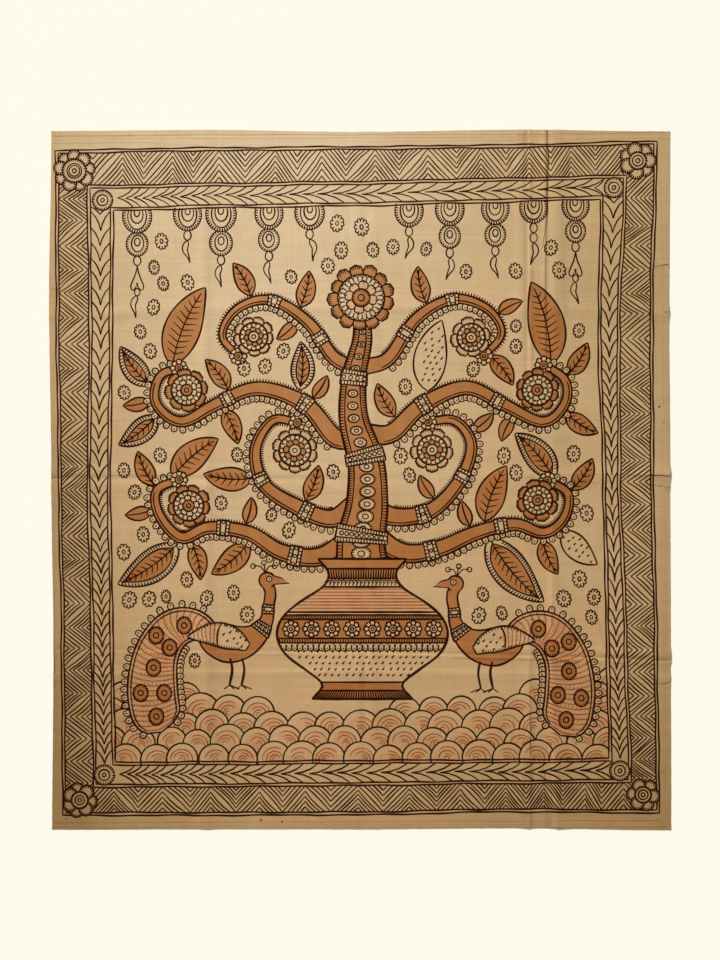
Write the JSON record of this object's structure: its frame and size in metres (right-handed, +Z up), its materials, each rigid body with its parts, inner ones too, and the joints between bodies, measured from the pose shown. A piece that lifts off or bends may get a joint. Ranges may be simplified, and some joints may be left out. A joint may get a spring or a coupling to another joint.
{
  "type": "kalamkari panel",
  "caption": "Thin rectangular cotton cloth panel laid out flat, with soft pressed fold ridges crossing it and a plain cut edge.",
  "frame": {"origin": "middle of the panel's box, at the height of the surface that the cloth lies on", "axes": "+Y towards the cloth's top edge, +X towards its right edge, +Z up out of its drawn side"},
  "size_m": [1.039, 1.17, 0.0052],
  "materials": {
    "dyed_cotton": "matt plain-woven cotton, tan ground with dark brown pen lines and ochre, red and rose dyes"
  },
  "bodies": {
    "root": {"cotton_panel": "dyed_cotton"}
  },
  "joints": []
}
